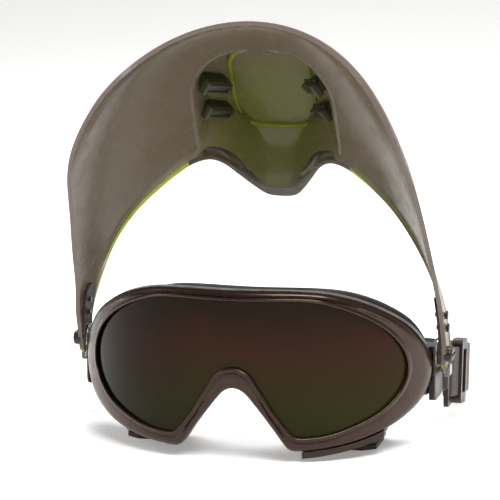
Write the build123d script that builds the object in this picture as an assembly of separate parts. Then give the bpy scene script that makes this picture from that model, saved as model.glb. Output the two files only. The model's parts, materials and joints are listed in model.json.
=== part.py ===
from build123d import *
import os
from math import cos, radians, sin

os.makedirs("parts", exist_ok=True)

# Millimetres. While it is being built, the shield's pivot axis is the X axis,
# the wearer looks along -Y and +Z is up. The shield is drawn lowered over the
# mouth and then swung up to its parked position.

# Front of the goggle: a cylinder standing upright, seen from above as an arc
wrap_radius = 98.0
wrap_front = 66.0            # pivot axis to the front of the rim at the nose
rim_depth = 8.0
rim_corner = 4.0
lens_corner = 3.0
lens_setback = 2.0
lens_thickness = 2.2
gasket_thickness = 1.8
lens_overlap = 3.2           # how far the lens runs under the rim
body_wall = 3.0
body_inset = 2.6             # body outline inside the rim outline
head_radius = 110.0          # curve of the wearer's brow and cheeks
head_front = 22.0            # pivot axis to the back of the body at the nose
seal_thickness = 7.0
seal_width = 9.0
seal_inset = 3.2

# Shield
flip_angle = 130.0           # from worn to parked
shell_thickness = 2.2
shell_levels = (16.0, -8.0, -38.0, -52.0, -66.0, -80.0, -95.0, -108.0, -117.0, -122.0, -130.0)
shell_front = (80.0, 84.0, 86.5, 91.0, 97.0, 102.0, 106.0, 108.5, 109.0, 107.5, 102.0)
shell_half_width = (93.5, 94.0, 93.4, 93.1, 92.6, 92.0, 90.8, 88.4, 86.0, 84.6, 82.8)
chin_level = -126.0
muzzle_lean = 11.3           # degrees that the flat in front of the mouth leans forward
# Sections of the muzzle: distance forward, height of the middle, width, height, corner
muzzle_steps = ((68, -78, 86, 64, 28), (97, -76, 68, 57, 20), (113, -66, 40, 41, 9))

# Temples
bracket_inner = 85.3
bracket_outer = 88.9
cheek_thickness = 1.0
ring_thickness = 0.5
washer_inner = 91.9           # face of the hinge plate
washer_thickness = 0.9
knob_inner = 93.0
knob_thickness = 3.8
button_y = 6.0
button_z = -9.2
boss_radius = 5.8
arm_width = 10.5
rivet_reaches = (13.5, 20.0)
rivet_radius = 1.2
slot_middles = ((26.5, 105.0, -78.0), (28.5, 102.0, -60.0))    # across, forward and up
slot_slope = 58.6            # degrees from level, seen from the front
slot_length = 18.0
slot_width = 5.5
hood_size = (17.0, 9.0, 1.3)
pin_radius = 2.5
pin_clearance = 0.05
plate_thickness = 1.7
anchor_pin_y = 22.0
anchor_pin_x = 88.2
anchor_pin_radius = 1.25
strap_width = 25.0
strap_thickness = 1.8
strap_middle = -18.0         # height of the strap's centre line at the anchors
strap_depth = 85.0
strap_drop = 8.6             # degrees that the strap droops behind

rim_upper = [(0, 39.5), (30, 39.2), (48, 36.6), (64, 29.8), (78, 18.6), (86, 4.2), (87.6, -8), (83.6, -20),
             (74, -28.7), (61, -34.6), (45, -38), (27, -39.4)]
rim_nose = [(27, -39.4), (18.5, -27), (10.2, -16), (5, -10.2), (0, -8.4)]
lens_upper = [(0, 34.6), (33, 34.5), (49, 30.8), (63, 23.4), (72.5, 14.4), (77.6, 4.6), (78.4, -5), (75, -14),
              (67.5, -21.8), (56, -27.6), (44, -31.2), (30, -32.2)]
lens_nose = [(30, -32.2), (21, -20.5), (13.5, -8.6), (7.5, -0.4), (0, 2.2)]
nose_edge = [(0, -8), (7, -9.5), (12, -16), (18, -27), (24, -37.5), (31, -43), (40, -43.5), (49, -40.5),
             (59, -36), (69, -31), (79, -23), (87, -11), (93, 1), (100, 10)]


def moved_out(points, amount):
    """The points of an open outline, each moved to its left by amount."""
    shifted = []
    for index, (x, z) in enumerate(points):
        before = points[max(index - 1, 0)]
        after = points[min(index + 1, len(points) - 1)]
        first = Vector(x - before[0], z - before[1])
        second = Vector(after[0] - x, after[1] - z)
        along = [run.normalized() for run in (first, second) if run.length > 0]
        if index in (0, len(points) - 1):
            along = [Vector(1 if index == 0 else -1, 0)]
        turn = sum(along, Vector()).normalized()
        reach = amount / turn.dot(along[0])
        shifted.append((x - turn.Y * reach, z + turn.X * reach))
    return shifted


def mirrored_face(upper, lower, corner_radius, grown=0.0):
    """Closed outline from its right half, grown all round, with rounded feet."""
    points = moved_out(upper + lower[1:], grown)
    corner = len(upper) - 1
    top = Spline(*points[:corner + 1], tangents=((1, 0), (-1, -0.04)))
    start, toward = points[corner], points[corner + 1]
    nose = Spline(*points[corner:], tangents=((toward[0] - start[0], toward[1] - start[1]), (-1, 0)))
    half = Curve() + [top, nose]
    face = make_face(half + mirror(half, about=Plane.YZ))
    foot = [v for v in face.vertices() if abs(abs(v.X) - start[0]) < 0.1]
    return fillet(foot, corner_radius)


def across(face, front=140.0, back=60.0):
    """Solid made by pushing a front-view outline along Y."""
    return extrude(Plane((0, back, 0), x_dir=(1, 0, 0), z_dir=(0, -1, 0)) * face, front + back)


def wrapped(setback, radius=wrap_radius):
    """Solid behind the goggle's front surface, moved back by setback."""
    return Pos(0, wrap_radius - wrap_front + setback, 0) * Cylinder(radius, 240)


def head(extra=0.0):
    """The space that the wearer's head takes up."""
    return Pos(0, head_radius - head_front, 0) * Cylinder(head_radius - extra, 240)


def side_prism(face, low, high):
    """Solid made by pushing a side-view outline (y, z) along X from low to high."""
    return Pos(low, 0, 0) * extrude(Plane.YZ * face, high - low)


def rim_shape(grown):
    """The rim's outline grown by an amount, or shrunk where the amount is below zero."""
    return mirrored_face(rim_upper, rim_nose, rim_corner, grown)


def lens_shape(grown):
    """The lens opening's outline grown by an amount."""
    return mirrored_face(lens_upper, lens_nose, lens_corner, grown)


rim_outline = rim_shape(0)
lens_outline = lens_shape(0)
pocket_outline = lens_shape(lens_overlap + 0.2)
lens_edge = lens_shape(lens_overlap)
body_outline = rim_shape(-body_inset)
body_hollow = rim_shape(-body_inset - body_wall)


def make_front_rim():
    slab = across(rim_outline) & wrapped(0)
    slab = slab - wrapped(rim_depth) - across(lens_outline)
    pocket = across(pocket_outline) & wrapped(lens_setback)
    return slab - pocket


def make_lens():
    return (across(lens_edge) & wrapped(lens_setback)) - wrapped(lens_setback + lens_thickness)


def make_gasket():
    start = lens_setback + lens_thickness
    ring = across(lens_edge) - across(lens_shape(1.0))
    return (ring & wrapped(start)) - wrapped(start + gasket_thickness)


def make_body():
    tube = across(body_outline) - across(body_hollow)
    tube = (tube & wrapped(rim_depth)) - head()
    lobes = Part()
    for side in (-1, 1):
        lobe = Pos(side * 51, -14, -36) * Box(30, 36, 12)
        lobe = fillet(lobe.edges().filter_by(Axis.Y), 4)
        lobes += lobe
    lobes = (lobes & wrapped(rim_depth + 9)) - head() - across(body_hollow)
    slots = Part()
    for place in range(-3, 4):
        slots += Pos(place * 9.5, -40, 37) * Box(5.5, 7, 12)
    return tube + lobes - slots


def make_face_seal():
    ring = across(rim_shape(-seal_inset)) - across(rim_shape(-seal_inset - seal_width))
    return (ring & head()) - head(seal_thickness)


def make_top_vent_cover():
    cover = Pos(0, -40, 37) * Box(74, 60, 10)
    cover = cover & (across(rim_shape(-0.1)) - across(rim_shape(0.1 - body_inset)))
    return (cover & wrapped(rim_depth + 1)) - wrapped(rim_depth + 17)


def make_top_vent_baffle():
    strip = Pos(0, -40, 30) * Box(72, 60, 20)
    strip = strip & (across(rim_shape(-body_inset - body_wall - 0.1)) - across(rim_shape(-body_inset - body_wall - 1.6)))
    return (strip & wrapped(rim_depth + 5)) - wrapped(rim_depth + 19)


def make_lower_vent_cover(side):
    plate = Pos(side * 51, -14, -43.1) * Box(24, 30, 2.2)
    plate = fillet(plate.edges().filter_by(Axis.Z), 4)
    grooves = Part()
    for row in (-1, 0, 1):
        grooves += Pos(side * 51, -14 + row * 6.5, -44.2) * Box(16, 1.6, 1.6)
    return (plate & wrapped(rim_depth + 11)) - grooves


def make_retainer_bar():
    band = across(rim_shape(3.2)) - across(rim_shape(0.2))
    window = Pos(51, -50, -40) * Box(36, 60, 24)
    return (band & window & wrapped(1.2)) - wrapped(6.4)


def shell_solid(inset):
    """Closed barrel inside the shield's outer surface, smaller all round by inset."""
    rings = Sketch()
    for level, front, width in zip(shell_levels, shell_front, shell_half_width):
        rings += Plane((0, 0, level)) * Ellipse(width - inset, front - inset)
    return loft(rings, ruled=True)


def bulge_solid(inset):
    """Raised space in front of the nose and mouth, ending in a flat that leans forward."""
    facing = (0, -cos(radians(muzzle_lean)), sin(radians(muzzle_lean)))
    steps = Sketch()
    for forward, middle, width, height, corner in muzzle_steps:
        place = Plane((0, inset - forward, middle), x_dir=(1, 0, 0), z_dir=facing)
        steps += place * RectangleRounded(width - 2 * inset, height - 2 * inset, corner - inset)
    return loft(steps)


def nose_cut():
    """Everything above the shield's top edge, in front view."""
    right = Spline(*nose_edge, tangents=((1, 0), (1, 1)))
    half = Curve() + [right, Line((100, 10), (100, 60)), Line((100, 60), (0, 60))]
    return across(make_face(half + mirror(half, about=Plane.YZ)))


def jaw_keep():
    """Side view of the shield in front of the jaw line, and of its arms."""
    edge = Spline((-0.5, -10.5), (-8, -24), (-18.5, -46), (-28, -71), (-36.5, -97), (-48, -115), (-64, -123.5),
                  (-80, chin_level), tangents=((-0.3, -1), (-1, 0)))
    side = Curve() + [edge, Line((-80, chin_level), (-140, chin_level)), Line((-140, chin_level), (-140, 12)),
                      Line((-140, 12), (-14, 12)), Line((-14, 12), (-2, 6)), Line((-2, 6), (-0.5, -10.5))]
    return side_prism(make_face(side), -120, 120)


def vent_slots(side):
    """The two slanting openings beside the mouth flat, on one side."""
    pair = Sketch()
    for across_middle, _, level in slot_middles:
        turned = SlotOverall(slot_length, slot_width, rotation=-side * slot_slope)
        pair += Pos(side * across_middle, level) * turned
    return across(pair, back=-60.0)


def make_shield():
    outer = shell_solid(0) + bulge_solid(0)
    inner = shell_solid(shell_thickness) + bulge_solid(shell_thickness)
    shell = (outer - inner) & jaw_keep()
    shell = max((shell - nose_cut()).solids(), key=lambda piece: piece.volume)
    for side in (-1, 1):
        shell -= vent_slots(side)
        shell -= Pos(side * 92, 0, 0) * Rot(0, 90, 0) * Cylinder(8.5, 12)
        for reach in rivet_reaches:
            shell -= on_arm(side, reach, 92) * Cylinder(rivet_radius + pin_clearance, 20)
    return shell


def on_arm(side, reach, distance):
    """A place on the shield's arm, reach away from the pivot, with its Z axis along X."""
    step = reach * cos(radians(45))
    return Pos(side * distance, -step, -step) * Rot(0, side * 90, 0)


def louvre_hood(middle):
    """Sloping hood behind one right-hand vent slot, with its peg."""
    along = Vector(-11, -12, 18)                  # the slot's own direction
    outward = Vector(0.70, -0.71, -0.05)          # square to the muzzle's side wall
    place = Plane(Vector(middle[0], -middle[1], middle[2]) - outward * 4.6, x_dir=along, z_dir=outward)
    hood = place * Rot(24, 0, 0) * Box(*hood_size)
    peg = place * Pos(hood_size[0] / 2, 0, 0.6) * Box(2.0, 4.6, 4.6)
    return (hood + peg) & bulge_solid(shell_thickness + 0.1)


def make_louvres(side):
    return on_side(louvre_hood(slot_middles[0]) + louvre_hood(slot_middles[1]), side)


def on_side(piece, side):
    """A piece drawn for the right temple, mirrored for the left one."""
    return piece if side > 0 else mirror(piece, about=Plane.YZ)


def along_x(low, radius, length):
    """Round bar parallel to the pivot axis, from low outwards."""
    return Pos(low + length / 2, 0, 0) * Rot(0, 90, 0) * Cylinder(radius, length)


def make_hinge_plate(side):
    arm = Pos(-9.5, -9.5) * Rot(0, 0, 45) * RectangleRounded(30, arm_width, 5)
    plate = side_prism(Circle(boss_radius) + arm, 70, 100)
    skin = shell_thickness + pin_clearance
    plate = plate & (shell_solid(skin) - shell_solid(skin + plate_thickness))
    plate -= Rot(0, 90, 0) * Cylinder(pin_radius + pin_clearance, 240)
    for reach in rivet_reaches:
        plate -= on_arm(1, reach, 91) * Cylinder(rivet_radius + pin_clearance, 60)
    return on_side(plate, side)


def make_arm_rivets(side):
    pair = Part()
    for reach, skin in zip(rivet_reaches, (93.4, 92.8)):
        shank = on_arm(1, reach, skin - 2.2) * Cylinder(rivet_radius, 5.6)
        top = on_arm(1, reach, skin + 0.85) * Cylinder(2.2, 1.1)
        pair += fillet(top.edges().group_by(Axis.X)[-1], 0.5) + shank
    return on_side(pair, side)


def make_bracket(side):
    base_thickness = bracket_outer - cheek_thickness - bracket_inner
    base = Pos(bracket_inner + base_thickness / 2, 7.5, -9.5) * Box(base_thickness, 22, 27)
    cheek = Pos(bracket_outer - cheek_thickness / 2, 5.5, -9.5) * Box(cheek_thickness, 26, 27)
    cheek = fillet(cheek.edges().filter_by(Axis.X), 5)
    block = base + cheek
    for height in (-19.0, 0.0):
        knuckle = Pos(anchor_pin_x, anchor_pin_y, height) * Cylinder(2.8, 7)
        web = Pos(anchor_pin_x - 1.0, anchor_pin_y - 3, height) * Box(3.4, 6, 7)
        block += knuckle + web
    block -= Pos(anchor_pin_x, anchor_pin_y, -9.5) * Cylinder(anchor_pin_radius, 60)
    block -= Rot(0, 90, 0) * Cylinder(pin_radius, 240)
    block -= Pos(0, button_y, button_z) * Rot(0, 90, 0) * Cylinder(1.6, 240)
    return on_side(block, side)


def make_detent_ring(side):
    ring = along_x(bracket_outer, 7.0, ring_thickness) - along_x(bracket_outer - 1, pin_radius, 4)
    for step in range(12):
        ring -= Rot(step * 30, 0, 0) * Pos(0, 0, 7.2) * along_x(bracket_outer - 1, 0.8, 4)
    return on_side(ring, side)


def make_pivot_pin(side):
    return on_side(along_x(bracket_inner + 0.5, pin_radius, knob_inner + 2.0 - bracket_inner), side)


def make_wave_washer(side):
    washer = along_x(washer_inner, 4.6, washer_thickness) - along_x(washer_inner - 1, pin_radius + 0.1, 4)
    return on_side(washer, side)


def make_pivot_knob(side):
    blank = extrude(SlotOverall(11.5, 7.0, rotation=90), knob_thickness / 2, both=True)
    knob = Pos(knob_inner + knob_thickness / 2, 0, 0) * Rot(0, 90, 0) * blank
    knob = fillet(knob.edges().group_by(Axis.X)[-1], 1.2)
    knob -= Pos(knob_inner + knob_thickness, 0, 0) * Box(1.4, 9.0, 1.2)
    knob -= along_x(knob_inner - 1, pin_radius + pin_clearance, 3.6)
    return on_side(knob, side)


def make_release_button(side):
    cap = Pos(92.9, button_y, button_z) * Box(3.6, 8.0, 6.0)
    cap = fillet(cap.edges(), 1.0)
    stem = Pos(0, button_y, button_z) * along_x(87.0, 1.55, 4.6)
    return on_side(cap + stem, side)


def make_anchor(side):
    """Swivelling frame: a barrel on the pin, two rails and the bar that the strap folds round."""
    barrel = Pos(anchor_pin_x, anchor_pin_y, -9.5) * Cylinder(2.7, 11.4)
    plate = Pos(anchor_pin_x + 0.4, anchor_pin_y + 4.4, -9.5) * Box(2.4, 5.6, 11.4)
    frame = Pos(anchor_pin_x + 0.4, anchor_pin_y + 12.4, strap_middle) * Box(2.4, 12.4, strap_width + 7)
    frame = fillet(frame.edges().filter_by(Axis.X), 2.5)
    window = Pos(anchor_pin_x + 0.4, anchor_pin_y + 12.2, strap_middle) * Box(6, 5.0, strap_width + 1.4)
    anchor = barrel + plate + frame - window
    anchor -= Pos(anchor_pin_x, anchor_pin_y, -9.5) * Cylinder(anchor_pin_radius + pin_clearance, 60)
    return on_side(anchor, side)


def make_anchor_pin(side):
    pin = Pos(anchor_pin_x, anchor_pin_y, -9.5) * Cylinder(anchor_pin_radius, 27.0)
    pin += Pos(anchor_pin_x, anchor_pin_y, 4.3) * Cylinder(2.0, 1.0)
    return on_side(pin, side)


strap_x = anchor_pin_x + 3.2
strap_y = anchor_pin_y + 20.4
strap_leg = 38.0             # straight run behind each anchor


def drooped(piece):
    """Lay a strap piece, drawn about the anchors' level, on the strap's sloping plane."""
    return Pos(0, strap_y, strap_middle) * Rot(-strap_drop, 0, 0) * piece


def make_strap():
    half = strap_thickness / 2
    bow = Ellipse(strap_x + half, strap_depth - strap_leg + half)
    bow -= Ellipse(strap_x - half, strap_depth - strap_leg - half)
    bow -= Pos(0, -60) * Rectangle(300, 120)
    band = Pos(0, strap_leg) * bow
    for side in (-1, 1):
        band += Pos(side * strap_x, strap_leg / 2) * Rectangle(strap_thickness, strap_leg)
    return drooped(extrude(band, strap_width / 2, both=True))


def make_slider():
    frame = Box(5.4, 17, strap_width + 8)
    frame = fillet(frame.edges().filter_by(Axis.X), 3)
    frame -= Box(strap_thickness + 0.5, 40, strap_width + 1.0)
    frame -= Pos(2.4, 0, 0) * Box(2.2, 10, strap_width - 3)
    return drooped(Pos(strap_x, 10.5, 0) * frame)


def parked(piece):
    """Swing a shield piece from its worn place up to its parked place."""
    return Rot(-flip_angle, 0, 0) * piece


pieces = {
    "front_rim": make_front_rim(),
    "lens": make_lens(),
    "lens_gasket": make_gasket(),
    "goggle_body": make_body(),
    "face_seal": make_face_seal(),
    "top_vent_cover": make_top_vent_cover(),
    "top_vent_baffle": make_top_vent_baffle(),
    "lens_retainer_bar": make_retainer_bar(),
    "shield": parked(make_shield()),
    "strap": make_strap(),
    "strap_slider": make_slider(),
}
for name, side in (("right", 1), ("left", -1)):
    pieces["lower_vent_cover_" + name] = make_lower_vent_cover(side)
    pieces["louvre_hoods_" + name] = parked(make_louvres(side))
    pieces["hinge_plate_" + name] = parked(make_hinge_plate(side))
    pieces["arm_rivets_" + name] = parked(make_arm_rivets(side))
    pieces["temple_bracket_" + name] = make_bracket(side)
    pieces["detent_ring_" + name] = make_detent_ring(side)
    pieces["pivot_pin_" + name] = make_pivot_pin(side)
    pieces["wave_washer_" + name] = make_wave_washer(side)
    pieces["pivot_knob_" + name] = make_pivot_knob(side)
    pieces["release_button_" + name] = make_release_button(side)
    pieces["strap_anchor_" + name] = make_anchor(side)
    pieces["anchor_pin_" + name] = make_anchor_pin(side)

boxes = [piece.bounding_box() for piece in pieces.values()]
front = min(box.min.Y for box in boxes)
back = max(box.max.Y for box in boxes)
bottom = min(box.min.Z for box in boxes)
to_stand = Pos(0, -(front + back) / 2, -bottom)
for name, piece in pieces.items():
    export_step(to_stand * piece, "parts/" + name + ".step")
print("pivot axis at y", -(front + back) / 2, "z", -bottom)
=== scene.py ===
import bpy
import json
from math import acos, asin, cos, exp, hypot, pi, radians, sin, sqrt
from mathutils import Matrix, Vector


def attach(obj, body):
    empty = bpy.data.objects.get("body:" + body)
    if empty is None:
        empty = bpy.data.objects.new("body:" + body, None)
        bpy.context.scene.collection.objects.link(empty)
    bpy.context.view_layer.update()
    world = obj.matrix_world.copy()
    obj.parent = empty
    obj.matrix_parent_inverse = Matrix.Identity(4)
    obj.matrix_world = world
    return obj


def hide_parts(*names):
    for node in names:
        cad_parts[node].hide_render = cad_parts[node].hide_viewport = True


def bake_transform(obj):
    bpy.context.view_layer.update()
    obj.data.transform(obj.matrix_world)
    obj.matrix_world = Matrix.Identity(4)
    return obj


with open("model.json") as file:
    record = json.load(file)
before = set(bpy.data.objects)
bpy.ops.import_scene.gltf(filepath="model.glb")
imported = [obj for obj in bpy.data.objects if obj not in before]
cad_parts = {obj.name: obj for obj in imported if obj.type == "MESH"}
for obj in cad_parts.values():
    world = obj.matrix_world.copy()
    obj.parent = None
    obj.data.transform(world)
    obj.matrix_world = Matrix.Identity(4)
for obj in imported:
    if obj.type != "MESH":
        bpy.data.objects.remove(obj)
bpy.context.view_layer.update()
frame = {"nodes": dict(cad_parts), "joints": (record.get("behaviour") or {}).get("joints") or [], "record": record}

# pieces are worked out in millimetres about the shield's pivot axis: X across, Y back, Z up
mm = 0.001
flipJoint = next(joint for joint in frame["joints"] if joint["name"] == "shield_flip")
pivot = Vector(flipJoint["pos_m"])
flipAngle = radians(130)

cameraLook = {
    "azimuth": 13.0,          # degrees round from the front, towards +X
    "elevation": 10.0,
    "distance": 1.5,          # from the pivot axis
    "focal": 216.0,
    "aimRight": -0.006,       # where the lens points, beside and above the pivot axis
    "aimUp": 0.0475,
}


def makeCamera(look):
    azimuth, elevation = radians(look["azimuth"]), radians(look["elevation"])
    right = Vector((cos(azimuth), sin(azimuth), 0))
    back = Vector((sin(azimuth) * cos(elevation), -cos(azimuth) * cos(elevation), sin(elevation)))
    up = back.cross(right)
    bpy.ops.object.camera_add()
    camera = bpy.context.object
    camera.matrix_world = Matrix((right, up, back)).transposed().to_4x4()
    aim = pivot + right * look["aimRight"] + up * look["aimUp"]
    camera.location = aim + back * look["distance"]
    camera.data.lens = look["focal"]
    camera.data.clip_end = 50
    bpy.context.scene.camera = camera


# a flat grid whose points are carried to place(u, v), u and v running from 0 to 1
def placedGrid(name, columns, rows, place, origin=pivot, scale=mm, paint=None):
    bpy.ops.object.select_all(action="DESELECT")
    bpy.ops.mesh.primitive_grid_add(x_subdivisions=columns, y_subdivisions=rows, size=2)
    piece = bpy.context.object
    piece.name = name
    if paint:
        for face in piece.data.polygons:
            face.material_index = paint((face.center.x + 1) / 2, (face.center.y + 1) / 2)
    for vertex in piece.data.vertices:
        spot = place((vertex.co.x + 1) / 2, (vertex.co.y + 1) / 2)
        vertex.co = origin + Vector(spot) * scale
    return piece


def makeActive(piece):
    bpy.ops.object.select_all(action="DESELECT")
    piece.select_set(True)
    bpy.context.view_layer.objects.active = piece


def joinSeams(piece, gap=0.00003):
    makeActive(piece)
    bpy.ops.object.mode_set(mode="EDIT")
    bpy.ops.mesh.select_all(action="SELECT")
    bpy.ops.mesh.remove_doubles(threshold=gap)
    bpy.ops.mesh.normals_make_consistent(inside=False)
    bpy.ops.object.mode_set(mode="OBJECT")
    bpy.ops.object.shade_smooth()


studio = {
    "floorTone": (0.90, 0.895, 0.89, 1),
    "floorFront": -3.0,
    "coveStart": 1.2,
    "coveRadius": 1.6,
    "keyPower": 17.5,
    "fillPower": 4.5,
    "topPower": 19.0,
    "paperGlow": 0.26,
    "ambient": 0.22,          # how bright the room is in everything but the camera's own view
}


def areaLight(name, place, aim, size, power):
    bpy.ops.object.light_add(type="AREA", location=place)
    light = bpy.context.object
    light.name = name
    light.data.shape = "RECTANGLE"
    light.data.size, light.data.size_y = size
    light.data.energy = power
    light.rotation_euler = (Vector(aim) - Vector(place)).to_track_quat("-Z", "Y").to_euler()


def makeStudio(values):
    # floor that curves up into the wall behind
    def cove(u, v):
        run = v * 3
        if run < 1:
            y, z = values["floorFront"] + run * (values["coveStart"] - values["floorFront"]), 0
        elif run < 2:
            turn = (run - 1) * pi / 2
            y = values["coveStart"] + values["coveRadius"] * sin(turn)
            z = values["coveRadius"] * (1 - cos(turn))
        else:
            y, z = values["coveStart"] + values["coveRadius"], values["coveRadius"] + (run - 2) * 3
        return ((u - 0.5) * 12, y, z - 0.0002)
    floor = placedGrid("studioFloor", 1, 48, cove, Vector(), 1)
    bpy.ops.object.shade_smooth()
    tone = bpy.data.materials.new("floorPaper")
    tone.use_nodes = True
    shader = tone.node_tree.nodes["Principled BSDF"]
    shader.inputs["Base Color"].default_value = values["floorTone"]
    shader.inputs["Roughness"].default_value = 0.8
    shader.inputs["Emission Color"].default_value = (1, 0.99, 0.98, 1)
    shader.inputs["Emission Strength"].default_value = values["paperGlow"]
    floor.data.materials.append(tone)
    world = bpy.data.worlds.new("studioAir")
    world.use_nodes = True
    nodes, links = world.node_tree.nodes, world.node_tree.links
    background = nodes["Background"]
    background.inputs["Color"].default_value = (1, 1, 1, 1)
    rays = nodes.new("ShaderNodeLightPath")
    level = nodes.new("ShaderNodeMapRange")
    level.inputs["To Min"].default_value = values["ambient"]
    level.inputs["To Max"].default_value = 1.0
    links.new(rays.outputs["Is Camera Ray"], level.inputs["Value"])
    links.new(level.outputs["Result"], background.inputs["Strength"])
    bpy.context.scene.world = world
    areaLight("keyLight", (0.45, -0.6, 1.1), (0, 0, 0.05), (0.8, 0.5), values["keyPower"])
    areaLight("fillLight", (-1.1, -0.5, 0.6), (0, 0, 0.08), (0.5, 0.8), values["fillPower"])
    areaLight("topLight", (0.0, 0.7, 1.2), (0, 0, 0.1), (1.2, 0.6), values["topPower"])
    bpy.context.scene.view_settings.view_transform = "Standard"


makeCamera(cameraLook)
makeStudio(studio)
print("camera and studio ready")


def newMaterial(name):
    material = bpy.data.materials.new(name)
    material.use_nodes = True
    nodes = material.node_tree.nodes
    return material, nodes, material.node_tree.links, nodes["Principled BSDF"]


def noiseOn(nodes, links, scale, detail=3.0, stretch=(1, 1, 1)):
    place = nodes.new("ShaderNodeTexCoord")
    mapping = nodes.new("ShaderNodeMapping")
    mapping.inputs["Scale"].default_value = stretch
    noise = nodes.new("ShaderNodeTexNoise")
    noise.inputs["Scale"].default_value = scale
    noise.inputs["Detail"].default_value = detail
    links.new(place.outputs["Object"], mapping.inputs["Vector"])
    links.new(mapping.outputs["Vector"], noise.inputs["Vector"])
    return noise


def rampBetween(nodes, links, source, low, high, start=0.35, end=0.65):
    ramp = nodes.new("ShaderNodeValToRGB")
    ramp.color_ramp.elements[0].position = start
    ramp.color_ramp.elements[1].position = end
    ramp.color_ramp.elements[0].color = (*low, 1)
    ramp.color_ramp.elements[1].color = (*high, 1)
    links.new(source, ramp.inputs["Fac"])
    return ramp.outputs["Color"]


def bumpFrom(nodes, links, source, shader, strength, distance):
    bump = nodes.new("ShaderNodeBump")
    bump.inputs["Strength"].default_value = strength
    bump.inputs["Distance"].default_value = distance
    links.new(source, bump.inputs["Height"])
    links.new(bump.outputs["Normal"], shader.inputs["Normal"])


# moulded plastic or rubber: a slow drift of tone, a fine grain and hand-worn gloss
def moulded(name, tone, lighter, roughness, grain=900, bump=0.10, coat=0.0, metallic=0.0,
            shine=(1, 1, 1)):
    material, nodes, links, shader = newMaterial(name)
    drift = noiseOn(nodes, links, 28, 2.0)
    tones = rampBetween(nodes, links, drift.outputs["Fac"], tone, lighter)
    links.new(tones, shader.inputs["Base Color"])
    rub = noiseOn(nodes, links, 120, 4.0)
    smoother, rougher = (roughness - 0.06,) * 3, (roughness + 0.08,) * 3
    gloss = rampBetween(nodes, links, rub.outputs["Fac"], smoother, rougher)
    links.new(gloss, shader.inputs["Roughness"])
    fine = noiseOn(nodes, links, grain, 2.0)
    bumpFrom(nodes, links, fine.outputs["Fac"], shader, bump, 0.00008)
    shader.inputs["Coat Weight"].default_value = coat
    shader.inputs["Coat Roughness"].default_value = 0.2
    shader.inputs["Metallic"].default_value = metallic
    shader.inputs["Specular Tint"].default_value = (*shine, 1)
    return material


sheetShare = {"drift": 0.92, "wear": 0.14, "seenThrough": 0.12, "seenTone": (0.62, 0.56, 0.44)}


# smoked green sheet: glossy plastic, some light coming through and a little of what is behind
def smoked(name, tone, glow, through, roughness=0.16, middle=None):
    material, nodes, links, shader = newMaterial(name)
    haze = noiseOn(nodes, links, 22, 3.0)
    low = tuple(value * sheetShare["drift"] for value in tone)
    cloudy = rampBetween(nodes, links, haze.outputs["Fac"], low, tone)
    if middle:
        # painted light: greener and brighter round the mouth, where light comes through the sheet from behind
        place = nodes.new("ShaderNodeTexCoord")
        centre = nodes.new("ShaderNodeMapping")
        centre.vector_type = "TEXTURE"
        centre.inputs["Location"].default_value = pivot + Vector(middle["at"]) * mm
        centre.inputs["Scale"].default_value = (middle["reach"] * mm,) * 3
        ball = nodes.new("ShaderNodeTexGradient")
        ball.gradient_type = "SPHERICAL"
        links.new(place.outputs["Object"], centre.inputs["Vector"])
        links.new(centre.outputs["Vector"], ball.inputs["Vector"])
        share = rampBetween(nodes, links, ball.outputs["Fac"], (0, 0, 0), (1, 1, 1),
                            middle["start"], middle["end"])
        blend = nodes.new("ShaderNodeMix")
        blend.data_type = "RGBA"
        links.new(share, blend.inputs["Factor"])
        links.new(cloudy, blend.inputs[6])
        blend.inputs[7].default_value = (*middle["tone"], 1)
        cloudy = blend.outputs[2]
    links.new(cloudy, shader.inputs["Base Color"])
    rub = noiseOn(nodes, links, 160, 5.0)
    gloss = rampBetween(nodes, links, rub.outputs["Fac"], (roughness,) * 3,
                        (roughness + sheetShare["wear"],) * 3)
    links.new(gloss, shader.inputs["Roughness"])
    shader.inputs["Specular IOR Level"].default_value = 0.4
    light = nodes.new("ShaderNodeBsdfTranslucent")
    light.inputs["Color"].default_value = (*glow, 1)
    mix = nodes.new("ShaderNodeMixShader")
    mix.inputs["Fac"].default_value = through
    links.new(shader.outputs["BSDF"], mix.inputs[1])
    links.new(light.outputs["BSDF"], mix.inputs[2])
    clear = nodes.new("ShaderNodeBsdfTransparent")
    clear.inputs["Color"].default_value = (*sheetShare["seenTone"], 1)
    sheer = nodes.new("ShaderNodeMixShader")
    sheer.inputs["Fac"].default_value = sheetShare["seenThrough"]
    links.new(mix.outputs["Shader"], sheer.inputs[1])
    links.new(clear.outputs["BSDF"], sheer.inputs[2])
    links.new(sheer.outputs["Shader"], nodes["Material Output"].inputs["Surface"])
    return material


# painted reflections on the lens, with painted shade towards one end
lensPaintedReflections = {
    "cloud": 0.03, "below": 0.012, "above": 0.048,       # metres about the pivot's height
    "olive": (0.15, (0.014, 0.0165, 0.0022)), "red": (0.66, (0.022, 0.0065, 0.003)),
    "brow": (0.95, (0.006, 0.003, 0.0015)),
    "deepFrom": -0.072, "deepTo": -0.012, "deepest": 0.15,
}
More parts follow.
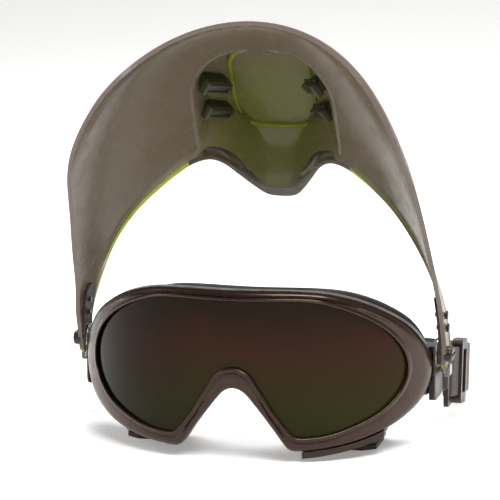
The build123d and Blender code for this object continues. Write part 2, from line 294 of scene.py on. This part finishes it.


# painted reflections and view through the lens: red-brown over the upper half, olive over the lower, with painted
# shade making it deeper at the wearer's right-hand end
def shadeLens(name):
    material, nodes, links, shader = newMaterial(name)
    place = nodes.new("ShaderNodeTexCoord")
    axes = nodes.new("ShaderNodeSeparateXYZ")
    links.new(place.outputs["Object"], axes.inputs["Vector"])
    drift = noiseOn(nodes, links, 16, 2.0)
    height = nodes.new("ShaderNodeMath")
    height.operation = "MULTIPLY_ADD"
    height.inputs[1].default_value = lensPaintedReflections["cloud"]
    links.new(drift.outputs["Fac"], height.inputs[0])
    links.new(axes.outputs["Z"], height.inputs[2])
    level = nodes.new("ShaderNodeMapRange")
    level.inputs["From Min"].default_value = pivot.z - lensPaintedReflections["below"]
    level.inputs["From Max"].default_value = pivot.z + lensPaintedReflections["above"]
    links.new(height.outputs["Value"], level.inputs["Value"])
    tint = nodes.new("ShaderNodeValToRGB")
    tones = tint.color_ramp.elements
    tones[0].position, tones[0].color = lensPaintedReflections["olive"][0], (*lensPaintedReflections["olive"][1], 1)
    tones[1].position, tones[1].color = lensPaintedReflections["brow"][0], (*lensPaintedReflections["brow"][1], 1)
    red = tones.new(lensPaintedReflections["red"][0])
    red.color = (*lensPaintedReflections["red"][1], 1)
    links.new(level.outputs["Result"], tint.inputs["Fac"])
    depth = nodes.new("ShaderNodeMapRange")
    depth.inputs["From Min"].default_value = lensPaintedReflections["deepFrom"]
    depth.inputs["From Max"].default_value = lensPaintedReflections["deepTo"]
    depth.inputs["To Min"].default_value = lensPaintedReflections["deepest"]
    links.new(axes.outputs["X"], depth.inputs["Value"])
    deepen = nodes.new("ShaderNodeVectorMath")
    deepen.operation = "SCALE"
    links.new(tint.outputs["Color"], deepen.inputs[0])
    links.new(depth.outputs["Result"], deepen.inputs["Scale"])
    links.new(deepen.outputs["Vector"], shader.inputs["Base Color"])
    wipe = noiseOn(nodes, links, 60, 4.0)
    smears = rampBetween(nodes, links, wipe.outputs["Fac"], (0.05,) * 3, (0.11,) * 3)
    links.new(smears, shader.inputs["Roughness"])
    shader.inputs["Specular IOR Level"].default_value = 0.13
    shader.inputs["Specular Tint"].default_value = (1.0, 0.75, 0.60, 1)
    return material


# flat woven elastic, its ribs running the length of the band
def elastic(name, tone, lighter, ribs, picks):
    material, nodes, links, shader = newMaterial(name)
    drift = noiseOn(nodes, links, 300, 3.0)
    tones = rampBetween(nodes, links, drift.outputs["Fac"], tone, lighter)
    links.new(tones, shader.inputs["Base Color"])
    shader.inputs["Roughness"].default_value = 0.82
    shader.inputs["Sheen Weight"].default_value = 0.15
    place = nodes.new("ShaderNodeTexCoord")
    heights = []
    for direction, count in (("Y", ribs), ("X", picks)):
        wave = nodes.new("ShaderNodeTexWave")
        wave.bands_direction = direction
        wave.inputs["Scale"].default_value = count / 10
        links.new(place.outputs["UV"], wave.inputs["Vector"])
        heights.append(wave.outputs["Fac"])
    both = nodes.new("ShaderNodeMath")
    both.operation = "ADD"
    links.new(heights[0], both.inputs[0])
    links.new(heights[1], both.inputs[1])
    bumpFrom(nodes, links, both.outputs["Value"], shader, 0.5, 0.0002)
    return material


rimPlastic = moulded("rimPlastic", (0.012, 0.0056, 0.004), (0.017, 0.0085, 0.006), 0.27, coat=0.05,
                     shine=(1.0, 0.72, 0.60))
darkPlastic = moulded("darkPlastic", (0.010, 0.006, 0.005), (0.016, 0.010, 0.008), 0.42,
                      shine=(1.0, 0.78, 0.70))
oliveBand = moulded("oliveBand", (0.022, 0.020, 0.006), (0.032, 0.029, 0.009), 0.42,
                    shine=(1.0, 0.9, 0.6))
softBody = moulded("softBody", (0.020, 0.014, 0.008), (0.030, 0.021, 0.012), 0.46,
                   shine=(1.0, 0.80, 0.65))
sealFoam = moulded("sealFoam", (0.024, 0.018, 0.015), (0.036, 0.028, 0.024), 0.66, 1400, 0.35)
gasketRubber = moulded("gasketRubber", (0.018, 0.015, 0.013), (0.026, 0.022, 0.019), 0.6)
pinSteel = moulded("pinSteel", (0.40, 0.38, 0.37), (0.50, 0.48, 0.46), 0.3, metallic=1.0)
clearPlastic = moulded("clearPlastic", (0.22, 0.21, 0.19), (0.30, 0.29, 0.27), 0.2, 600, 0.3)
clearShader = clearPlastic.node_tree.nodes["Principled BSDF"]
clearShader.inputs["Transmission Weight"].default_value = 0.6
# painted glow of light coming through the shield round the mouth
mouthThroughGlow = {"at": (0, 38, 112), "reach": 66.0, "start": 0.18, "end": 0.66,
              "tone": (0.12, 0.135, 0.020)}
shieldGreen = smoked("shieldGreen", (0.150, 0.120, 0.094), (0.30, 0.27, 0.15), 0.28,
                     middle=mouthThroughGlow)
# painted glow: bright lime where light carried inside the sheet comes out at its lip and edges
shieldLimeGlow = smoked("shieldLimeGlow", (0.36, 0.42, 0.05), (0.66, 0.74, 0.12), 0.5, 0.25)
shieldBrown = smoked("shieldBrown", (0.055, 0.040, 0.018), (0.16, 0.13, 0.04), 0.25)
# painted shade: near black for the crease beside the lip and the strip along the chin edge
shieldDarkShade = smoked("shieldDarkShade", (0.022, 0.014, 0.008), (0.05, 0.04, 0.02), 0.15, 0.22)
# painted reflection: pale pinkish sheen on the chin edge where the sheet is seen at a grazing angle
shieldPaleReflection = smoked("shieldPaleReflection", (0.20, 0.155, 0.14), (0.30, 0.26, 0.22), 0.25, 0.25)
louvreOlive = moulded("louvreOlive", (0.030, 0.028, 0.012), (0.042, 0.038, 0.018), 0.4)
lensShade = shadeLens("lensShade")
strapWeave = elastic("strapWeave", (0.030, 0.018, 0.016), (0.046, 0.029, 0.026), 14, 420)

slotMaterials = {
    "shade_lens": lensShade, "rim_plastic": rimPlastic, "dark_plastic": darkPlastic,
    "soft_body": softBody, "seal_rubber": sealFoam, "gasket_rubber": gasketRubber,
    "shield_plastic": shieldGreen, "clear_plastic": clearPlastic, "strap_fabric": strapWeave,
    "pin_steel": pinSteel,
}
# these three are finished otherwise than their slot says
nodeMaterials = {"top_vent_baffle": oliveBand, "arm_rivets_left": darkPlastic,
                 "arm_rivets_right": darkPlastic}
for sub in frame["record"]["subparts"]:
    node = frame["nodes"][sub["node"]]
    finish = nodeMaterials.get(sub["node"], slotMaterials[sub["material_slot"]])
    node.data.materials.clear()
    node.data.materials.append(finish)
print("materials ready")


def smoothStep(low, high, value):
    # rises from low to high, or falls where low is the larger
    part = max(0, min(1, (value - low) / (high - low)))
    return part * part * (3 - 2 * part)


# a smooth run through points, with the points before and after its ends given
def throughPoints(points, before, after, count):
    chain = [Vector(point) for point in [before] + points + [after]]
    run = []
    for step in range(count + 1):
        where = step / count * (len(points) - 1)
        low = min(int(where), len(points) - 2)
        part = where - low
        a, b, c, d = chain[low:low + 4]
        run.append(0.5 * (2 * b + (c - a) * part + (2 * a - 5 * b + 4 * c - d) * part ** 2
                          + (3 * b - a - 3 * c + d) * part ** 3))
    return run


def evenly(run, count):
    lengths = [0.0]
    for a, b in zip(run, run[1:]):
        lengths.append(lengths[-1] + (b - a).length)
    even, low = [], 0
    for step in range(count):
        want = lengths[-1] * step / count
        while lengths[low + 1] < want:
            low += 1
        part = (want - lengths[low]) / (lengths[low + 1] - lengths[low])
        even.append(run[low].lerp(run[low + 1], part))
    return even


goggle = {
    "wrapRadius": 98.0, "wrapFront": 66.0,      # the front, seen from above
    "headRadius": 110.0, "headFront": 22.0,     # the wearer's face
    "rimUpper": [(0, 39.5), (30, 39.2), (48, 36.6), (64, 29.8), (78, 18.6), (86, 4.2), (87.6, -8),
                 (83.6, -20), (74, -28.7), (61, -34.6), (45, -38), (27, -39.4)],
    "rimNose": [(27, -39.4), (18.5, -27), (10.2, -16), (5, -10.2), (0, -8.4)],
    "lensUpper": [(0, 34.6), (33, 34.5), (49, 30.8), (63, 23.4), (72.5, 14.4), (77.6, 4.6),
                  (78.4, -5), (75, -14), (67.5, -21.8), (56, -27.6), (44, -31.2), (30, -32.2)],
    "lensNose": [(30, -32.2), (21, -20.5), (13.5, -8.6), (7.5, -0.4), (0, 2.2)],
    "upperSteps": 150, "noseSteps": 50, "footReach": 7, "easeAll": 3,
}


# closed outline, seen from the front, as points with their outward directions
def outlineOf(upper, nose, rounding):
    beforeTop, afterTop = (-upper[1][0], upper[1][1]), (upper[-1][0] - 10, upper[-1][1])
    top = evenly(throughPoints(upper, beforeTop, afterTop, 600), goggle["upperSteps"])
    beforeNose, afterNose = (nose[0][0] + 6, nose[0][1] - 9), (-nose[-2][0], nose[-2][1])
    bridge = evenly(throughPoints(nose, beforeNose, afterNose, 300), goggle["noseSteps"])
    half = top + bridge + [Vector(nose[-1])]
    loop = half + [Vector((-spot.x, spot.y)) for spot in reversed(half[1:-1])]
    count = len(loop)
    # the whole loop is eased a little, and the feet either side of the nose more
    feet = (goggle["upperSteps"], count - goggle["upperSteps"])
    for turn in range(rounding):
        eased = []
        for index, spot in enumerate(loop):
            atFoot = min(abs(index - foot) for foot in feet) < goggle["footReach"]
            between = (loop[index - 1] + loop[(index + 1) % count]) / 2
            eased.append(spot.lerp(between, 0.5 if atFoot or turn < goggle["easeAll"] else 0))
        loop = eased
    outward = []
    for index in range(count):
        run = (loop[(index + 1) % count] - loop[index - 1]).normalized()
        outward.append(Vector((-run.y, run.x)))
    return loop, outward


rimLine = outlineOf(goggle["rimUpper"], goggle["rimNose"], 14)
lensLine = outlineOf(goggle["lensUpper"], goggle["lensNose"], 10)
loopCount = len(rimLine[0])


def frontY(x, setback):
    radius = goggle["wrapRadius"]
    return radius - goggle["wrapFront"] + setback - sqrt(radius ** 2 - x ** 2)


def faceY(x, lift):
    radius = goggle["headRadius"]
    return radius - goggle["headFront"] - sqrt((radius - lift) ** 2 - x ** 2)


def onLine(line, index, grown):
    spot = line[0][index] + line[1][index] * grown
    return spot.x, spot.y


# ring round the goggle: section(index, turn) gives the point at one place round the loop
def ringPiece(name, turns, section, material):
    def place(u, v):
        return section(round(u * loopCount) % loopCount, round(v * turns) % turns)
    ring = placedGrid(name, loopCount, turns, place)
    joinSeams(ring)
    ring.data.materials.append(material)
    return ring


# the rim's section: outline (0 rim, 1 lens opening), grown by, set back by
rimSection = [(0, 0.0, 8.0), (0, 0.0, 3.4), (0, -0.25, 1.9), (0, -0.9, 0.8), (0, -1.9, 0.2),
              (0, -3.0, 0.0), (1, 3.2, 0.1), (1, 2.3, 0.25), (1, 1.8, 0.35), (1, 1.5, -0.35),
              (1, 1.0, -0.75), (1, 0.4, -0.6), (1, 0.05, 0.1), (1, 0.0, 1.95), (1, 3.3, 2.0),
              (1, 3.3, 8.0)]


def rimPoint(index, turn):
    which, grown, setback = rimSection[turn]
    x, z = onLine(lensLine if which else rimLine, index, grown)
    return x, frontY(x, setback), z


frontRim = ringPiece("frontRimMoulding", len(rimSection), rimPoint, rimPlastic)
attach(frontRim, "goggle")
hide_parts("front_rim")

bodyShape = {"inset": 2.6, "wall": 3.0, "ribs": 3, "ribDepth": 0.8, "taper": 7.0, "steps": 26,
             "front": 8.0, "faceLift": 0.2}


# how far the skirt draws in by the time it meets the face: more over the brow and temples
def taperAt(index):
    return bodyShape["taper"] * smoothStep(-0.6, 0.1, rimLine[1][index].y)


# soft skirt from the rim back to the face, with three shallow ribs, and its inner wall
def bodyPoint(index, turn):
    steps = bodyShape["steps"]
    outside = turn <= steps
    part = turn / steps if outside else (2 * steps + 1 - turn) / steps
    grown = -bodyShape["inset"] - (0 if outside else bodyShape["wall"])
    ripple = bodyShape["ribDepth"] * (0.5 - 0.5 * cos(2 * pi * bodyShape["ribs"] * part))
    grown -= (ripple if outside else 0) + taperAt(index) * part
    x, z = onLine(rimLine, index, grown)
    start, end = frontY(x, bodyShape["front"]), faceY(x, bodyShape["faceLift"])
    return x, start + (end - start) * part, z


skirt = ringPiece("softSkirt", 2 * bodyShape["steps"] + 2, bodyPoint, softBody)


def softBlock(middle, size, soft):
    bpy.ops.object.select_all(action="DESELECT")
    bpy.ops.mesh.primitive_cube_add(size=1, location=pivot + Vector(middle) * mm,
                                    scale=Vector(size) * mm)
    piece = bpy.context.object
    bpy.ops.object.transform_apply(location=True, rotation=True, scale=True)
    soften = piece.modifiers.new("soften", "BEVEL")
    soften.width, soften.segments = soft * mm, 5
    bpy.ops.object.modifier_apply(modifier="soften")
    bpy.ops.object.shade_smooth_by_angle(angle=radians(40))
    piece.data.materials.append(softBody)
    return piece


# cheek lobes over the lower vents, and the pads that carry the temple brackets
cheekLobe = {"middle": (51, -12, -36), "size": (27, 32, 12), "soft": 4}
templePad = {"middle": (80.2, 7.5, -9.5), "size": (10, 19, 24), "soft": 2.5}
blocks = []
for shape in (cheekLobe, templePad):
    across, back, up = shape["middle"]
    blocks += [softBlock((side * across, back, up), shape["size"], shape["soft"])
               for side in (-1, 1)]
makeActive(skirt)
for piece in blocks:
    piece.select_set(True)
bpy.ops.object.join()
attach(skirt, "goggle")
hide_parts("goggle_body")

topVent = {"halfWidth": 38.0, "front": 8.6, "back": 23.0, "slots": 9, "sunk": 2.5, "rise": 2.4,
           "slotDepth": 0.9, "fall": 3.0, "thick": 1.4, "fullWithin": 0.55}


# height of the rim's upper edge at x
def browHeight(x):
    upper = [spot for spot in rimLine[0] if spot.y >= 0]
    return min(upper, key=lambda spot: abs(spot.x - x)).y


# slotted cover along the brow, thinning out towards its ends
def topVentPoint(u, v):
    across = 2 * u - 1
    x = topVent["halfWidth"] * across
    ends = smoothStep(1, topVent["fullWithin"], abs(across))
    edge = smoothStep(0, 0.12, v) * smoothStep(1, 0.85, v)
    slot = (0.5 + 0.5 * cos(2 * pi * topVent["slots"] * u)) ** 6
    slot *= smoothStep(0.2, 0.3, v) * smoothStep(0.85, 0.75, v)
    z = browHeight(x) - topVent["sunk"] - topVent["fall"] * v
    z += (topVent["rise"] * edge - topVent["slotDepth"] * slot) * ends
    return x, frontY(x, topVent["front"] + (topVent["back"] - topVent["front"]) * v), z


ventCover = placedGrid("browVentCover", 180, 36, topVentPoint)
makeActive(ventCover)
thicken = ventCover.modifiers.new("thicken", "SOLIDIFY")
thicken.thickness = topVent["thick"] * mm
thicken.offset = -1
bpy.ops.object.modifier_apply(modifier="thicken")
bpy.ops.object.shade_smooth_by_angle(angle=radians(40))
ventCover.data.materials.append(oliveBand)
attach(ventCover, "goggle")
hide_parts("top_vent_cover")

sealShape = {"middle": -7.7, "width": 4.6, "thick": 3.4, "around": 14, "lift": 3.5,
             "follow": 0.45, "puff": 0.25}


# oval foam ring that meets the face, with a slow unevenness in its thickness
def sealPoint(index, turn):
    angle = 2 * pi * turn / sealShape["around"]
    grown = sealShape["middle"] - sealShape["follow"] * taperAt(index)
    x, z = onLine(rimLine, index, grown + sealShape["width"] * cos(angle))
    puff = sealShape["puff"] * sin(index * 0.35) * sin(index * 0.11)
    return x, faceY(x, sealShape["lift"]) - (sealShape["thick"] + puff) * sin(angle), z


faceSeal = ringPiece("foamSeal", sealShape["around"], sealPoint, sealFoam)
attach(faceSeal, "goggle")
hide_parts("face_seal")
print("goggle front, skirt and seal ready")

# the shield as it is worn: level, distance forward and half width of the barrel it is part of
barrel = [(16, 80, 93.5), (-8, 84, 94), (-38, 86.5, 93.4), (-52, 91, 93.1), (-66, 97, 92.6),
          (-80, 102, 92), (-95, 107.5, 90.8), (-108, 111.5, 88.4), (-117, 113, 86),
          (-122, 112, 84.6), (-130, 106, 82.8)]
shieldShape = {
    "columns": 300, "rows": 96, "skin": 2.2,
    "flatLevel": -62.5, "flatForward": 115.5, "flatHalf": (21.0, 26.5), "flatCorner": 9.0,
    "lean": 0.2, "flatEdge": 0.66, "shoulder": 12, "noseWiden": 1.1, "noseFall": 0.75,
    "lipHeight": 0.6, "lipRows": 0.055, "lipFadeFrom": 0.5, "lipFadeTo": 0.86,
    "creaseShadeRows": 0.067, "creaseHeight": 1.5, "creaseAt": 0.061, "creaseWidth": 0.009,
    "creaseShadeEnd": 0.62, "bridge": 6.2 / 17, "chinShadeRows": 0.988,
}


# the barrel's sizes run smoothly between its levels
def slopeAt(index, column):
    low, high = max(index - 1, 0), min(index + 1, len(barrel) - 1)
    return (barrel[high][column] - barrel[low][column]) / (barrel[high][0] - barrel[low][0])


def barrelAt(level):
    level = max(min(level, barrel[0][0]), barrel[-1][0])
    low = max(index for index in range(len(barrel) - 1) if level <= barrel[index][0])
    step = barrel[low + 1][0] - barrel[low][0]
    t = (level - barrel[low][0]) / step
    sizes = []
    for column in (1, 2):
        start, end = barrel[low][column], barrel[low + 1][column]
        leaving, arriving = slopeAt(low, column) * step, slopeAt(low + 1, column) * step
        sizes.append(start * (1 + 2 * t) * (1 - t) ** 2 + end * t * t * (3 - 2 * t)
                     + leaving * t * (1 - t) ** 2 - arriving * t * t * (1 - t))
    return sizes


def byAcross(x, z):
    return asin(min(x / barrelAt(z)[1], 1)), z


def byForward(forward, z):
    return acos(forward / barrelAt(z)[0]), z


# matching stations along the nose edge and the chin edge, from the middle to the pivot
noseAcross = ((0, -8), (7, -9.5), (12, -16), (18, -27), (24, -37.5), (31, -43), (40, -43.5),
              (49, -40.5), (59, -36), (69, -31), (79, -23), (87, -11))
noseForward = ((19, -2), (10, 3.8), (3.5, 6.8), (-2, 6.6), (-6, 3.6), (-7, 0.5))
chinTurns = (0, 5, 9, 13, 17, 22, 28, 34, 41, 47.4)
chinForward = ((60, -122), (41, -108.5), (27.9, -70.5), (13.9, -32.4), (5, -17.5), (0.8, -9.5),
               (-3.4, -4.4), (-7, 0.5))
chinLevel = -126
noseEdge = [byAcross(x, z) for x, z in noseAcross] + [byForward(f, z) for f, z in noseForward]
chinEdge = ([(radians(turn), chinLevel) for turn in chinTurns]
            + [byForward(f, z) for f, z in chinForward])
halfSteps = shieldShape["columns"] // 2
noseRun = throughPoints(noseEdge, (-noseEdge[1][0], noseEdge[1][1]), noseEdge[-1], halfSteps)
chinRun = throughPoints(chinEdge, (-chinEdge[1][0], chinEdge[1][1]), chinEdge[-1], halfSteps)


def softest(a, b, blend):
    # the larger of two, rounded where they meet
    gap = max(blend - abs(a - b), 0) / blend
    return max(a, b) + gap * gap * blend / 4


# how far forward the nose and mouth bulge stands at (x, z)
def muzzleForward(x, z):
    shape = shieldShape
    halfX, halfZ = shape["flatHalf"]
    corner = shape["flatCorner"]
    rise = max(z - shape["flatLevel"] - halfZ, 0)               # up the bridge of the nose
    dx = abs(x) - halfX - shape["noseWiden"] * rise + corner
    dz = shape["flatLevel"] - halfZ - z + corner
    away = hypot(max(dx, 0), max(dz, 0)) + min(max(dx, dz), 0) - corner
    flat = shape["flatForward"] + (shape["flatLevel"] - z) * shape["lean"]
    wall = max(away, 0) + max(away - shape["shoulder"], 0) * 3
    wall -= shape["flatEdge"] * exp(-(away / 1.1) ** 2) * smoothStep(6, 0, rise)
    return flat - wall - shape["noseFall"] * rise - 0.7 * smoothStep(0, 2, rise)


# from where a point is with the shield worn to where it is with the shield parked
def parkedPoint(x, forward, z):
    y = -forward
    return x, cos(flipAngle) * y + sin(flipAngle) * z, -sin(flipAngle) * y + cos(flipAngle) * z


# outer skin: u runs from arm to arm, v from the nose edge to the chin edge
def shieldPoint(u, v):
    shape = shieldShape
    across = 2 * u - 1
    index = min(round(abs(across) * halfSteps), halfSteps)
    turn, z = noseRun[index].lerp(chinRun[index], v)
    front, half = barrelAt(z)
    lip = 0
    if v < shape["lipRows"]:
        lip = shape["lipHeight"] * (1 - v / shape["lipRows"]) ** 1.6
        lip *= smoothStep(1, 0.8, abs(across))
    crease = exp(-((v - shape["creaseAt"]) / shape["creaseWidth"]) ** 2)
    lip -= shape["creaseHeight"] * crease * smoothStep(0.70, 0.56, abs(across))
    x = (half + lip) * sin(turn) * (1 if across >= 0 else -1)
    forward = (front + lip) * cos(turn)
    if abs(x) < 60 and z < -8:
        forward += (softest(forward, muzzleForward(x, z), 4) - forward) * smoothStep(0.03, 0.17, v)
    return parkedPoint(x, forward, z)


# lip in lime, a painted glow of light carried along the sheet, brown over the nose; painted shade on the crease
# beside it and along the chin edge
def shieldPaint(u, v):
    shape = shieldShape
    across = abs(2 * u - 1)
    if v < shape["lipRows"] * smoothStep(shape["lipFadeTo"], shape["lipFadeFrom"], across):
        return 3 if across < shape["bridge"] else 1
    # painted shade along the crease beside the lip and along the chin edge
    if v < shape["creaseShadeRows"] and across < shape["creaseShadeEnd"] or v > shape["chinShadeRows"]:
        return 5
    return 0


shield = placedGrid("smokedShield", shieldShape["columns"], shieldShape["rows"], shieldPoint,
                    paint=shieldPaint)
joinSeams(shield, 0.00002)
# each edge material follows the one that its rim takes it from, so the cut edges take the lime painted glow and
# the chin edge the pale painted reflection
for material in (shieldGreen, shieldLimeGlow, shieldLimeGlow, shieldBrown, shieldBrown, shieldDarkShade,
                 shieldPaleReflection):
    shield.data.materials.append(material)
thicken = shield.modifiers.new("thicken", "SOLIDIFY")
thicken.thickness = shieldShape["skin"] * mm
thicken.offset = -1
thicken.material_offset_rim = 1
bpy.ops.object.modifier_apply(modifier="thicken")


# directions, as worn on the wearer's left: along a slot and square to it out of the skin
slotShape = {"along": (-11, 12, 18), "outward": (0.70, 0.71, -0.05), "cut": (17, 5, 16),
             "cutSoft": 1.6, "middles": ((26.5, 105.0, -78.0), (28.5, 102.0, -60.0))}


# rounded block lying along a slanting slot: size and shift run along it, across it and outwards
def slotBlock(side, middle, size, shift=(0, 0, 0), soft=0.8, tilt=0):
    bpy.ops.object.select_all(action="DESELECT")
    bpy.ops.mesh.primitive_cube_add(size=1)
    block = bpy.context.object
    inward, forward, up = slotShape["along"]
    along = Vector(parkedPoint(side * inward, forward, up)).normalized()
    sideways, forward, up = slotShape["outward"]
    outward = Vector(parkedPoint(side * sideways, forward, up)).normalized()
    wide = outward.cross(along).normalized()
    outward = along.cross(wide)
    lean = Matrix.Rotation(radians(tilt), 3, along)
    wide, outward = lean @ wide, lean @ outward
    edges = [axis * reach * mm for axis, reach in zip((along, wide, outward), size)]
    spread = Matrix(edges).transposed().to_4x4()
    spot = Vector(parkedPoint(side * middle[0], middle[1], middle[2]))
    spot += along * shift[0] + wide * shift[1] + outward * shift[2]
    spread.translation = pivot + spot * mm
    block.matrix_world = spread
    bpy.ops.object.transform_apply(location=True, rotation=True, scale=True)
    soften = block.modifiers.new("soften", "BEVEL")
    soften.width, soften.segments = soft * mm, 3
    bpy.ops.object.modifier_apply(modifier="soften")
    bpy.ops.object.mode_set(mode="EDIT")
    bpy.ops.mesh.select_all(action="SELECT")
    bpy.ops.mesh.normals_make_consistent(inside=False)
    bpy.ops.object.mode_set(mode="OBJECT")
    bpy.ops.object.shade_smooth_by_angle(angle=radians(40))
    return block


for side in (-1, 1):
    for middle in slotShape["middles"]:
        cutter = slotBlock(side, middle, slotShape["cut"], soft=slotShape["cutSoft"])
        makeActive(shield)
        cut = shield.modifiers.new("slot", "BOOLEAN")
        cut.operation, cut.solver, cut.object = "DIFFERENCE", "EXACT", cutter
        bpy.ops.object.modifier_apply(modifier="slot")
        bpy.data.objects.remove(cutter)
makeActive(shield)
bpy.ops.object.shade_smooth_by_angle(angle=radians(32))
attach(shield, "shield")
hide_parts("shield")

# a hood's blocks: size, shift, softness, tilt
hoodBlocks = [
    ((17.4, 6.4, 10.0), (0, 0.3, 0.8), 0.8, 0),        # body that fills the slot
    ((19, 7.5, 1.6), (0, 0, -3.4), 0.5, 24),           # hood over it on the inside
    ((17.6, 1.5, 5.0), (0, 3.0, -2.4), 0.5, 0),        # its upright back
    ((2.4, 7.5, 4.2), (-9.6, 0, -4.0), 0.7, 0),        # hook at the outer end
    ((1.6, 3.0, 4.0), (9.4, 1.6, -3.6), 0.5, 0),       # peg at the inner end
]
for side, name in ((-1, "left"), (1, "right")):
    parts = [slotBlock(side, middle, *block)
             for middle in slotShape["middles"] for block in hoodBlocks]
    hoods = parts[0]
    makeActive(hoods)
    for piece in parts:
        piece.select_set(True)
    bpy.ops.object.join()
    hoods.name = "louvreHoods_" + name
    hoods.data.materials.append(louvreOlive)
    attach(hoods, "shield")
    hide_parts("louvre_hoods_" + name)


beadShape = {"radius": 1.3, "sunk": 0.9, "inset": 0.4, "squareness": 4.2, "steps": (160, 10)}


# raised line round the flat in front of the mouth, on its inner side, in lime as a painted glow
def flatLine(turn):
    halfX, halfZ = (half - beadShape["inset"] for half in shieldShape["flatHalf"])
    angle = 2 * pi * turn
    x, z = cos(angle), sin(angle)
    power = beadShape["squareness"]
    stretch = (abs(x) ** power + abs(z) ** power) ** (-1 / power)
    return halfX * x * stretch, shieldShape["flatLevel"] + halfZ * z * stretch


def beadPoint(u, v):
    x, z = flatLine(u)
    ahead = flatLine(u + 0.002)
    run = Vector((ahead[0] - x, ahead[1] - z)).normalized()
    around = 2 * pi * v
    out = beadShape["radius"] * cos(around)
    forward = muzzleForward(x, z) - shieldShape["skin"] - beadShape["sunk"]
    forward += beadShape["radius"] * sin(around)
    return parkedPoint(x - run.y * out, forward, z + run.x * out)


bead = placedGrid("mouthBead", *beadShape["steps"], beadPoint)
joinSeams(bead)
bead.data.materials.append(shieldLimeGlow)
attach(bead, "shield")
print("shield ready")

strapShape = {"x": 91.4, "y": 42.4, "middle": -18.0, "leg": 38.0, "depth": 47.0,
              "width": 25.0, "thick": 1.8, "selvedge": 0.7, "droop": radians(8.6),
              "steps": 420, "foldSteps": 60}


# the strap hangs down a little towards the back of the head
def drooped(x, y, z):
    lean = strapShape["droop"]
    back, up = y * cos(lean) + z * sin(lean), z * cos(lean) - y * sin(lean)
    return x, strapShape["y"] + back, strapShape["middle"] + up


# band of strap along a plan path, with rounded selvedges
def bandPiece(name, path, columns, material, wander=0.0):
    run = evenly(throughPoints(path, path[0], path[-1], 1200), columns) + [Vector(path[-1])]
    half, thick, selvedge = strapShape["width"] / 2, strapShape["thick"] / 2, strapShape["selvedge"]
    section = []
    for step in range(13):
        angle = pi * step / 12
        section.append((half - selvedge + selvedge * sin(angle), thick * cos(angle)))
    rim = section + [(-wide, -deep) for wide, deep in section]
    count = len(rim)

    def place(u, v):
        index = min(round(u * columns), columns)
        wide, deep = rim[round(v * count) % count]
        ahead = run[min(index + 1, columns)] - run[max(index - 1, 0)]
        side = Vector((ahead.y, -ahead.x)).normalized()
        spot = run[index] + side * deep
        wave = wander * sin(index * 0.05) * sin(index * 0.013 + 1)
        return drooped(spot.x, spot.y, wide + wave)
    band = placedGrid(name, columns, count, place)
    joinSeams(band, 0.00001)
    makeActive(band)
    bpy.ops.object.mode_set(mode="EDIT")
    bpy.ops.mesh.select_all(action="SELECT")
    bpy.ops.mesh.fill_holes(sides=0)
    bpy.ops.mesh.normals_make_consistent(inside=False)
    bpy.ops.object.mode_set(mode="OBJECT")
    bpy.ops.object.shade_smooth_by_angle(angle=radians(50))
    band.data.materials.append(material)
    return band


# straight behind each anchor, then round the back of the head
def bowPath():
    x, leg, depth = strapShape["x"], strapShape["leg"], strapShape["depth"]
    path = [(x, leg * step / 6) for step in range(6)]
    path += [(x * cos(pi * step / 24), leg + depth * sin(pi * step / 24)) for step in range(25)]
    return path + [(-x, leg * (5 - step) / 6) for step in range(6)]


headStrap = bandPiece("headStrap", bowPath(), strapShape["steps"], strapWeave, 0.35)
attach(headStrap, "goggle")
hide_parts("strap")


# folded end: out of the main band, round the anchor's rear bar and back inside
def foldPath(side, back):
    path = [(91.4, 0.2), (91.0, -2.2), (90.75, -4.2), (89.9, -6.2), (88.6, -6.9), (87.2, -6.3),
            (86.45, -4.2), (86.7, -1.5), (88.2, back * 0.35), (89.4, back * 0.7), (89.5, back)]
    return [(side * x, y) for x, y in path]


for side, name, back in ((1, "right", 1.6), (-1, "left", 26.0)):
    fold = bandPiece("strapFold_" + name, foldPath(side, back), strapShape["foldSteps"], strapWeave)
    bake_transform(fold)
print("strap ready")
